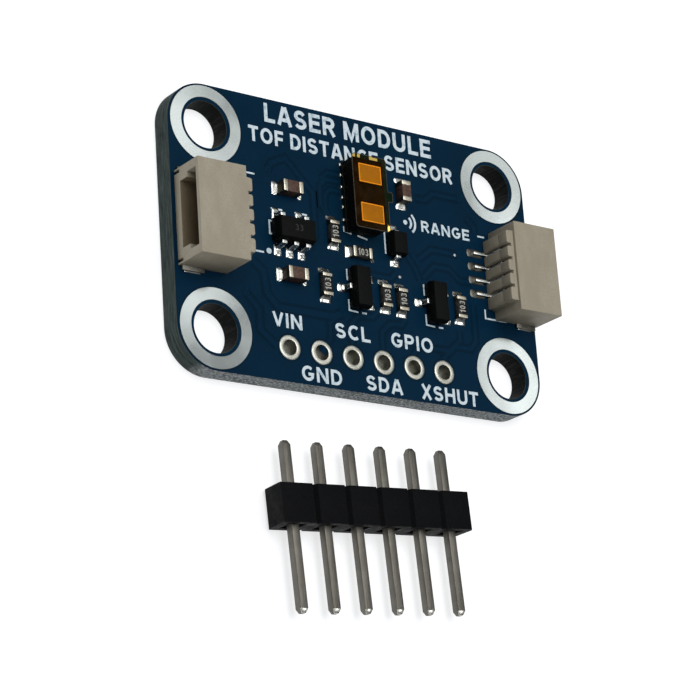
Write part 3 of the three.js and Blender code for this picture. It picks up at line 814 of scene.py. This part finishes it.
# Each character is its width and the middle lines of its strokes, for a height of 1.
GLYPHS = {
    " ": (0.2, []),
    "0": (0.6, [arc(0.3, 0.5, 0.2, 0.4, 0, 360, 20)]),
    "1": (0.42, [[(0.06, 0.72), (0.3, 0.92)], [(0.3, 0), (0.3, 1)]]),
    "3": (0.58, [arc(0.28, 0.71, 0.18, 0.19, 150, -90) + arc(0.28, 0.31, 0.2, 0.21, 90, -150)[1:]]),
    "A": (0.78, [[(0.08, 0), (0.36, 1)], [(0.7, 0), (0.42, 1)], [(0.2, 0.3), (0.58, 0.3)]]),
    "C": (0.72, [arc(0.41, 0.5, 0.31, 0.4, 48, 312)]),
    "D": (0.72, [STEM, [(0.1, 0.9), *arc(0.32, 0.5, 0.3, 0.4, 90, -90), (0.1, 0.1)]]),
    "E": (0.62, [
        STEM,
        [(0.1, 0.1), (0.62, 0.1)],
        [(0.1, 0.52), (0.58, 0.52)],
        [(0.1, 0.9), (0.62, 0.9)],
    ]),
    "F": (0.58, [STEM, [(0.1, 0.48), (0.54, 0.48)], [(0.1, 0.9), (0.58, 0.9)]]),
    "G": (0.78, [[*arc(0.41, 0.5, 0.31, 0.4, 48, 322), (0.68, 0.46), (0.42, 0.46)]]),
    "H": (0.74, [STEM, [(0.64, 0), (0.64, 1)], [(0.1, 0.52), (0.64, 0.52)]]),
    "I": (0.2, [STEM]),
    "L": (0.58, [[(0.1, 1), (0.1, 0.1), (0.58, 0.1)]]),
    "M": (0.86, [STEM, [(0.12, 0.97), (0.43, 0.08), (0.74, 0.97)], [(0.76, 0), (0.76, 1)]]),
    "N": (0.76, [STEM, [(0.12, 0.95), (0.64, 0.05)], [(0.66, 0), (0.66, 1)]]),
    "O": (0.82, [arc(0.41, 0.5, 0.31, 0.4, 0, 360, 24)]),
    "P": (0.66, [STEM, [(0.1, 0.9), *arc(0.35, 0.68, 0.21, 0.22, 90, -90), (0.1, 0.46)]]),
    "R": (0.7, [
        STEM,
        [(0.1, 0.9), *arc(0.36, 0.69, 0.22, 0.21, 90, -90), (0.1, 0.48)],
        [(0.36, 0.48), (0.62, 0)],
    ]),
    "S": (0.68, [arc(0.33, 0.7, 0.22, 0.2, 22, 270) + arc(0.34, 0.3, 0.24, 0.2, 90, -158)[1:]]),
    "T": (0.66, [[(0, 0.9), (0.66, 0.9)], [(0.33, 0.9), (0.33, 0)]]),
    "U": (0.74, [[(0.1, 1), *arc(0.37, 0.37, 0.27, 0.27, 180, 360), (0.64, 1)]]),
    "V": (0.72, [[(0.08, 1), (0.36, 0.04)], [(0.64, 1), (0.36, 0.04)]]),
    "X": (0.7, [[(0.08, 0), (0.62, 1)], [(0.08, 1), (0.62, 0)]]),
}
LETTER_GAP = 0.13


def text_shape(text, x0, x1, y0, height, low, high, weight=0.2):
    """Lettering that fills x0 to x1, with its foot at y0. weight is its stroke for a height of 1."""
    advance = sum(GLYPHS[letter][0] for letter in text) + LETTER_GAP * (len(text) - 1)
    stretch = (x1 - x0) / advance
    left = 0.0
    shapes = []
    for letter in text:
        width, strokes = GLYPHS[letter]
        for layer, stroke in enumerate(strokes):
            points = [(x0 + (left + x) * stretch, y0 + y * height) for x, y in stroke]
            shapes.append(ribbon(points, weight * height, low, high + LAYER * layer))
        left += width + LETTER_GAP
    return joined(shapes)


def bracket(x, y):
    """Outline marks of a small package: a corner on its left and short lines on its right."""
    long_side = 1.5
    return [
        [(x - 0.62, y + 1.4), (x - 0.62, y + 0.6)],
        [(x - 0.62, y - 0.75), (x - 0.62, y - long_side), (x + 0.1, y - long_side - 0.05)],
        [(x + 0.42, y - long_side - 0.05), (x + 0.8, y - long_side - 0.05)],
        [(x + 0.98, y + 0.5), (x + 0.98, y - 0.45)],
    ]


def make_legend():
    """All the white print: words, outline marks, the dot at pin one and the plain mark."""
    for name, text, x0, x1, y0, height in LEGENDS:
        shape = text_shape(text, x0, x1, y0, height, TOP, INK_TOP)
        make_piece(f"legend_{name}", shape, INK)
    lines = dict(LEGEND_LINES)
    for number in (1, 2):
        middle, _ = centre_and_size(f"mosfet_{number}_body")
        lines[f"mosfet_{number}"] = bracket(middle.x, middle.y)
    for name, strokes in lines.items():
        shapes = [ribbon(stroke, 0.12, TOP, INK_TOP) for stroke in strokes]
        make_piece(f"legend_{name}", joined(shapes), INK)
    dot = sheet(circle(-7.55, -1.05, 0.2, 24), [], TOP, INK_TOP)
    make_piece("legend_pin_one", dot, INK)
    make_mark(4.0, 2.95)


def make_mark(x, y):
    """A plain mark: a dot at x, y with two arcs on its right."""
    shapes = [sheet(circle(x, y, 0.17, 24), [], TOP, INK_TOP)]
    for radius in (0.5, 0.85):
        shapes.append(ribbon(arc(x, y, radius, radius, -48, 48), 0.17, TOP, INK_TOP))
    make_piece("legend_mark", joined(shapes), INK)


# ---- sockets


def make_housing(name):
    """The CAD housing, with painted shade inside its mouth, and its rear ribs made anew with rounder ends.
    """
    node = f"{name}_housing"
    low, high = (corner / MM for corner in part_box(node))
    inward = -1 if name == "left_socket" else 1
    rear = high.x if name == "left_socket" else low.x
    middle_y = (low.y + high.y) / 2
    cut = rear + inward * RIB["depth"]
    shape = cad_shape(node)
    bmesh.ops.bisect_plane(
        shape,
        geom=[*shape.verts, *shape.edges, *shape.faces],
        plane_co=(cut, 0, 0),
        plane_no=(-inward, 0, 0),
        clear_outer=True,
    )
    bmesh.ops.holes_fill(shape, edges=[edge for edge in shape.edges if edge.is_boundary])
    bmesh.ops.recalc_face_normals(shape, faces=shape.faces)
    for face in shape.faces:
        middle = face.calc_center_median()
        depth = (middle.x - rear) * inward
        deep = RIB["depth"] + CAVITY_INSET["rear"] < depth < high.x - low.x - CAVITY_INSET["front"]
        between_sides = abs(middle.y - middle_y) < RIB["width"] / 2 - CAVITY_INSET["side"]
        between_floors = low.z + CAVITY_INSET["floor"] < middle.z < high.z - CAVITY_INSET["floor"]
        # faces deep inside the mouth get the darker beige: painted shade for the recess
        face.material_index = 1 if deep and between_sides and between_floors else 0
    soften(shape, 0.045, 3)
    shell = joined([shape, *rear_ribs(rear, cut + inward * 0.05, middle_y, low.z)])
    make_piece(f"{name}_shell", shell, [BEIGE, MOUTH_SHADE], node)


def rear_ribs(rear, inner, middle_y, foot):
    """The ribs between the contact slots, wider apart in their lower part."""
    ends = sorted((rear, inner))
    step = foot + RIB_SLOT["step"]
    narrowing = (RIB_SLOT["low_width"] - RIB_SLOT["high_width"]) / 2
    ribs = []
    for start, end in rib_spans():
        y0, y1 = middle_y + start, middle_y + end
        upper = block(*ends, y0, y1, step, foot + RIB["height"])
        lower = block(*ends, y0 + narrowing, y1 - narrowing, foot, step + 0.05)
        ribs += [round_rear(upper, rear, 0.16), round_rear(lower, rear, 0.12)]
    return ribs


def rib_spans():
    """Where each rear rib starts and ends along Y, from the socket's middle."""
    slots = [RIB_SLOT["pitch"] * (i - 1.5) for i in range(4)]
    starts = [-RIB["width"] / 2, *(slot + RIB_SLOT["high_width"] / 2 for slot in slots)]
    ends = [*(slot - RIB_SLOT["high_width"] / 2 for slot in slots), RIB["width"] / 2]
    return list(zip(starts, ends))


def round_rear(shape, rear, radius):
    """Rounds a rib's two upright rear edges, then all its other edges a little."""
    upright = [
        edge for edge in shape.edges
        if all(abs(vertex.co.x - rear) < 0.001 for vertex in edge.verts)
        and abs(edge.verts[0].co.z - edge.verts[1].co.z) > 0.1
    ]
    soften(shape, radius, 5, upright)
    return soften(shape, 0.06, 3, sharp_edges(shape, 40))


def make_socket_metal(name):
    """Contacts and hold-downs with rounded edges, and the solder that holds them."""
    outward = -1 if name == "left_socket" else 1
    solder = []
    pads = []
    for i in WAYS:
        node = f"{name}_contact_{i}"
        soft_copy(f"{node}_blade", node, TIN, 0.035)
        middle, size = centre_and_size(node)
        tail = middle.x - outward * size.x / 2
        ends = stretch_at(tail, outward, 0.5, 0.85)
        pads.append(solder_pad(*ends, middle.y - 0.3, middle.y + 0.3, 0.04))
    for i in (1, 2):
        node = f"{name}_hold_down_{i}"
        soft_copy(f"{node}_plate", node, DULL, 0.05)
        middle, size = centre_and_size(node)
        side = 1 if middle.y > 0 else -1
        foot = middle.y + side * size.y / 2
        sides = stretch_at(foot, side, 0.5, 0.07)
        reach = size.x / 2 - 0.2
        solder.append(solder_pad(middle.x - reach, middle.x + reach, *sides, 0.11))
    make_piece(f"{name}_pads", joined(pads), DULL)
    make_piece(f"{name}_solder", joined(solder), SOLDER)


# ---- distance sensor


def make_sensor():
    """Substrate, lid, both windows with the dice behind them, solder, and the film on top."""
    soft_copy("sensor_substrate", "sensor_base", SUBSTRATE, 0.02)
    soft_copy("sensor_lid", "sensor_cap", CAP_BLACK, 0.05, 3)
    for side in ("emitter", "receiver"):
        node = f"{side}_window"
        low, high = (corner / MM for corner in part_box(node))
        rim = 0.07
        frame_top = high.z + 0.004
        soft_copy(f"{side}_pane", node, GLASS, 0.01)
        outline = rounded_rectangle(low.x, high.x, low.y, high.y, 0.04, 4)
        opening = rounded_rectangle(low.x + rim, high.x - rim, low.y + rim, high.y - rim, 0.03, 4)
        border = sheet(outline, [opening], high.z - 0.02, frame_top)
        make_piece(f"{side}_pane_rim", border, GLASS_RIM)
        soft_copy(f"{side}_chip", f"{side}_die", SILICON, 0.015)
    middle, size = centre_and_size("sensor_base")
    dots = []
    for side in (-1, 1):
        for y in SENSOR_PAD_ROWS:
            x = middle.x + side * (size.x / 2 + 0.02)
            dots.append(solder_pad(x - 0.13, x + 0.13, y - 0.16, y + 0.16, 0.16))
    make_piece("sensor_solder", joined(dots), SOLDER)
    make_liner()


def make_liner():
    """The film with its pull tab. Its cut edges and a narrow border are darker and opaque."""
    shape = cad_shape("liner_film")
    top = max(shape.faces, key=lambda face: face.calc_center_median().z)
    bmesh.ops.inset_individual(shape, faces=[top], thickness=0.045)
    for face in shape.faces:
        face.material_index = 1
    top.material_index = 0
    bottom = min(shape.faces, key=lambda face: face.calc_center_median().z)
    bottom.material_index = 0
    make_piece("liner_sheet", shape, [FILM, FILM_EDGE], "liner_film", "liner")


# ---- packages


def lead_pad(node, outward):
    """A wetted pad under a lead's foot. outward is the axis, with its sign, that the lead points along."""
    middle, size = centre_and_size(node)
    axis = 0 if outward.endswith("x") else 1
    side = -1 if outward.startswith("-") else 1
    end = middle[axis] + side * size[axis] / 2
    along = stretch_at(end, side, LEAD_PAD["heel"], LEAD_PAD["toe"])
    across = stretch_at(middle[1 - axis], 1, LEAD_PAD["width"] / 2, LEAD_PAD["width"] / 2)
    spans = (*along, *across) if axis == 0 else (*across, *along)
    return solder_pad(*spans, LEAD_PAD["thickness"])


def make_package(name, sides):
    """A moulded body with its leads and their solder. sides gives each lead's outward axis."""
    soft_copy(f"{name}_case", f"{name}_body", EPOXY, 0.05, 3)
    pads = []
    for i, axis in enumerate(sides, 1):
        lead = f"{name}_lead_{i}"
        soft_copy(f"{lead}_wing", lead, TIN, 0.05, 3)
        pads.append(lead_pad(lead, axis))
    make_piece(f"{name}_solder", joined(pads), SOLDER)


def make_regulator_marking():
    """A faint generic number burnt into the regulator's top."""
    middle, size = centre_and_size("regulator_body")
    top = middle.z + size.z / 2
    digits = text_shape("33", middle.x - 0.3, middle.x + 0.35, middle.y - 0.2, 0.45, top, top + 0.004, 0.16)
    make_piece("regulator_marking", digits, FAINT_MARKING)


def make_diode():
    """A moulded body and its two folded leads, on their pads."""
    middle, size = centre_and_size("diode")
    shape = cad_shape("diode")
    for face in shape.faces:
        beyond = abs(face.calc_center_median().y - middle.y) > DIODE["body_half"] + 0.01
        face.material_index = 1 if beyond else 0
    soften(shape, 0.04)
    make_piece("diode_case", shape, [EPOXY, TIN], "diode")
    sides = (middle.x - DIODE["pad_half"], middle.x + DIODE["pad_half"])
    pads = []
    for side in (1, -1):
        ends = stretch_at(middle.y + side * size.y / 2, side, DIODE["heel"], DIODE["toe"])
        pads.append(solder_pad(*sides, *ends, DIODE["thickness"]))
    make_piece("diode_solder", joined(pads), SOLDER)


# ---- chip parts


def chip_frame(node):
    """Middle, length, width, height and turn of a chip part that lies along X or Y."""
    middle, size = centre_and_size(node)
    along_y = size.y > size.x
    length, width = (size.y, size.x) if along_y else (size.x, size.y)
    return middle, length, width, size.z, math.pi / 2 if along_y else 0.0


def make_chip(node, terminal, core, body_material, climb, coat=None):
    """A chip part: a ceramic body between two plated ends, with its solder.

    core is how far the body's faces lie inside the ends' faces. climb is how much of its
    height the solder climbs.
    """
    middle, length, width, height, turn = chip_frame(node)
    top = FOOT + height
    half = length / 2
    layer = 0.05 if coat else 0.0
    inner = half - terminal + 0.02
    sides = (core - width / 2, width / 2 - core)
    body = block(-inner, inner, *sides, FOOT + core, top - core - layer, 0.02)
    moved(body, middle.x, middle.y, 0, turn)
    make_piece(f"{node}_body", body, body_material, node)
    if coat:
        cover = block(-inner, inner, *sides, top - core - layer, top - core, 0.02)
        make_piece(f"{node}_coat", moved(cover, middle.x, middle.y, 0, turn), coat)
    ends = []
    solder = []
    for side in (-1, 1):
        x0, x1 = sorted((side * half, side * (half - terminal)))
        end = block(x0, x1, -width / 2, width / 2, FOOT, top, 0.06, 3)
        bmesh.ops.recalc_face_normals(end, faces=end.faces)
        # end faces that do not look up get the darker plating: painted shade
        for face in end.faces:
            face.material_index = 1 if face.normal.z < 0.4 else 0
        ends.append(end)
        wedge = moved(solder_wedge(0.42, width + 0.12, height * climb), half)
        solder.append(moved(wedge, turn=0.0 if side > 0 else math.pi))
    for part, shapes, material in (("ends", ends, [PLATE, PLATE_SIDE_SHADE]), ("solder", solder, SOLDER)):
        shape = moved(joined(shapes), middle.x, middle.y, 0, turn)
        make_piece(f"{node}_{part}", shape, material)


def make_resistor(number):
    """A chip resistor with a glassy coat and a plain value code."""
    node = f"resistor_{number}"
    # the body's sides use the alumina darkened as painted shade
    make_chip(node, 0.28, 0.03, ALUMINA_SHADE, 0.6, COAT)
    middle, _, _, height, turn = chip_frame(node)
    top = FOOT + height - 0.03
    digits = text_shape("103", -0.42, 0.42, -0.25, 0.5, top, top + 0.008, weight=0.16)
    moved(digits, middle.x, middle.y, 0, turn)
    make_piece(f"{node}_marking", digits, MARKING)


# ---- header strip


def make_header_strip():
    """The loose strip: its moulded body, and pins whose slanted cut faces that look towards -Y and up are
    brighter: bare cut metal, with a painted highlight on those facets.
    """
    soft_copy("header_bar", "header_body", HEADER_BLACK, 0.06, body="pin_header")
    for i in PINS:
        node = f"header_pin_{i}"
        shape = soften(cad_shape(node), 0.04)
        for face in shape.faces:
            # only the cut facets that look towards -Y and up get the bright metal: cut metal and a painted
            # highlight
            face.material_index = 1 if face.normal.y < -0.3 and face.normal.z > 0.2 else 0
        make_piece(f"header_wire_{i}", shape, [PIN_METAL, CUT_METAL_HIGHLIGHT], node, "pin_header")


# ---- stage


def make_floor():
    """A wide flat floor under the whole scene."""
    reach, level = FLOOR["reach"] * MM, FLOOR["level"] * MM
    mesh = bpy.data.meshes.new("floor")
    corners = [(-reach, -reach), (reach, -reach), (reach, reach), (-reach, reach)]
    mesh.from_pydata([(x, y, level) for x, y in corners], [], [(0, 1, 2, 3)])
    mesh.materials.append(floor_finish())
    floor = new_object("floor", mesh)


def make_sky(horizon, zenith):
    """A studio dome that is dim near the horizon and bright overhead."""
    world = bpy.data.worlds.new("studio")
    bpy.context.scene.world = world
    world.use_nodes = True
    nodes, links = world.node_tree.nodes, world.node_tree.links
    place = nodes.new("ShaderNodeTexCoord")
    split = nodes.new("ShaderNodeSeparateXYZ")
    rise = nodes.new("ShaderNodeMapRange")
    rise.interpolation_type = "SMOOTHSTEP"
    rise.inputs["To Min"].default_value = horizon
    rise.inputs["To Max"].default_value = zenith
    links.new(place.outputs["Generated"], split.inputs["Vector"])
    links.new(split.outputs["Z"], rise.inputs["Value"])
    links.new(rise.outputs["Result"], nodes["Background"].inputs["Strength"])
    nodes["Background"].inputs["Color"].default_value = (0.97, 0.99, 1.0, 1.0)


def make_lamp(name, place, size, power, only_reflected=False):
    """A square softbox, in millimetres, that faces the board.

    One that is only reflected shows in glossy reflections and gives no diffuse light.
    """
    lamp = bpy.data.lights.new(name, "AREA")
    lamp.size = size * MM
    lamp.energy = power
    source = new_object(name, lamp)
    source.visible_diffuse = not only_reflected
    ahead = Vector((0, -5, 0)) - Vector(place)
    turned = ahead.to_track_quat("-Z", "Y").to_matrix().to_4x4()
    source.matrix_world = Matrix.Translation(Vector(place) * MM) @ turned


def make_stage():
    make_floor()
    make_sky(0.03, 0.36)
    make_lamp("overhead_softbox", (-25, 32, 258), 230, 0.62)
    make_lamp("right_card", (204, 70, 207), 55, 0.014, only_reflected=True)
    make_lamp("corner_card", (192, 124, 192), 55, 0.007, only_reflected=True)
    make_lamp("rear_card", (129, 121, 240), 55, 0.01, only_reflected=True)
    make_lamp("front_card", (174, -104, 225), 70, 0.06, only_reflected=True)
    bpy.context.scene.view_settings.view_transform = "Standard"


# ---- assembly


def build():
    """Makes every piece, and the stage they stand on."""
    make_board()
    make_mount_lands()
    make_header_holes()
    make_tracks()
    make_legend()
    for name in SOCKETS:
        make_housing(name)
        make_socket_metal(name)
    make_sensor()
    make_package("regulator", ["-y", "-y", "-y", "y", "y"])
    make_regulator_marking()
    make_package("mosfet_1", ["-x", "x", "x"])
    make_package("mosfet_2", ["-x", "x", "x"])
    make_diode()
    for node in ("input_capacitor", "output_capacitor", "sensor_capacitor"):
        make_chip(node, 0.35, 0.02, BROWN, 0.06)
    for number in RESISTORS:
        make_resistor(number)
    make_header_strip()
    make_stage()


build()
